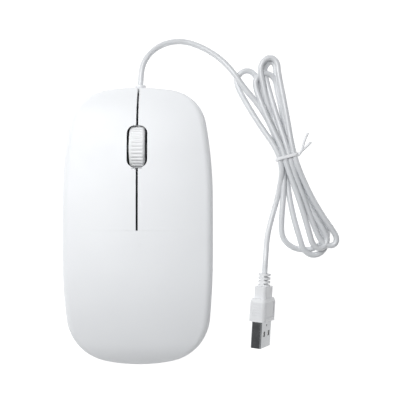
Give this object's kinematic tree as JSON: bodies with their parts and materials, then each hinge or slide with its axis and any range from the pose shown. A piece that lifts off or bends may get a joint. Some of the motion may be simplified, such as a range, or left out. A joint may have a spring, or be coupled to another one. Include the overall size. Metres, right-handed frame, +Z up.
{
  "type": "computer mouse",
  "caption": "Wired optical mouse with click keys, a ribbed scroll wheel, a tied hank of cord and a rectangular data plug.",
  "frame": {"origin": "under the middle of the case, on the surface that its feet rest on", "axes": "+Y is the front, where the cord leaves; +X is the right-hand side; +Z is up"},
  "size_m": [0.1123, 0.135, 0.0242],
  "materials": {
    "white_shell": "smooth satin gloss",
    "white_base": "fine satin",
    "glide": "low-friction film",
    "label": "matte film",
    "steel": "bright zinc plated",
    "white_rubber": "soft matte",
    "tyre_rubber": "soft matte",
    "dark_plastic": "moulded",
    "board": "black solder mask",
    "clear_lens": "clear",
    "red_led": "tinted clear",
    "grey_plastic": "moulded",
    "white_plastic": "moulded",
    "wire_coat": "smooth",
    "cord_white": "satin",
    "tie_white": "paper and wire",
    "plug_white": "satin moulded",
    "plug_steel": "nickel plated",
    "gold": "gold plated"
  },
  "bodies": {
    "root": {"top_cover": "white_shell", "bottom_case": "white_base", "front_foot": "glide", "rear_foot": "glide", "blank_label": "label", "case_screw": "steel", "board_screws": "steel", "cord_grommet": "white_rubber", "cradle_spring": "steel", "circuit_board": "board", "left_switch_body": "dark_plastic", "right_switch_body": "dark_plastic", "middle_switch_body": "dark_plastic", "sensor_chip": "dark_plastic", "sensor_lens": "clear_lens", "illumination_led": "red_led", "led_clip": "dark_plastic", "encoder_emitter": "dark_plastic", "encoder_detector": "dark_plastic", "controller_chip": "dark_plastic", "capacitor": "steel", "chip_resistors": "dark_plastic", "wire_header": "white_plastic", "wire_plug": "white_plastic", "inner_wires": "wire_coat", "cord_lead": "cord_white", "cord_hank": "cord_white", "cord_tail": "cord_white", "twist_tie": "tie_white", "plug_overmould": "plug_white", "plug_shell": "plug_steel", "plug_tongue": "white_plastic", "plug_contacts": "gold"},
    "left_key": {"left_button": "white_shell"},
    "right_key": {"right_button": "white_shell"},
    "left_plunger": {"left_switch_plunger": "red_led"},
    "right_plunger": {"right_switch_plunger": "red_led"},
    "middle_plunger": {"middle_switch_plunger": "grey_plastic"},
    "cradle": {"wheel_cradle": "dark_plastic"},
    "wheel": {"wheel_tyre": "tyre_rubber", "wheel_hub": "grey_plastic", "wheel_axle": "grey_plastic"}
  },
  "joints": [
    {"name": "left_click", "type": "hinge", "parent": "root", "child": "left_key", "pos_m": [0, -0.0013, 0.0205], "axis": [-1, 0, 0], "range_deg": [0, 0.57], "stiffness_Nm_per_rad": 2.4, "springref_deg": -0.23},
    {"name": "left_plunge", "type": "slide", "parent": "root", "child": "left_plunger", "axis": [0, 0, -1], "range_m": [0, 0.0004]},
    {"name": "right_click", "type": "hinge", "parent": "root", "child": "right_key", "pos_m": [0, -0.0013, 0.0205], "axis": [-1, 0, 0], "range_deg": [0, 0.57], "stiffness_Nm_per_rad": 2.4, "springref_deg": -0.23},
    {"name": "right_plunge", "type": "slide", "parent": "root", "child": "right_plunger", "axis": [0, 0, -1], "range_m": [0, 0.0004]},
    {"name": "wheel_click", "type": "slide", "parent": "root", "child": "cradle", "axis": [0, 0, -1], "range_m": [0, 0.0005], "stiffness_N_per_m": 1200, "springref_m": -0.0004, "deforming": ["cradle_spring"]},
    {"name": "middle_plunge", "type": "slide", "parent": "root", "child": "middle_plunger", "axis": [0, 0, -1], "range_m": [0, 0.00046]},
    {"name": "wheel_spin", "type": "hinge", "parent": "cradle", "child": "wheel", "pos_m": [0, 0.0314, 0.0148], "axis": [1, 0, 0], "continuous": true}
  ],
  "couplings": [
    {"joint": "left_plunge", "follows": "left_click", "m_per_rad": 0.04},
    {"joint": "right_plunge", "follows": "right_click", "m_per_rad": 0.04},
    {"joint": "middle_plunge", "follows": "wheel_click", "ratio": 0.9}
  ]
}
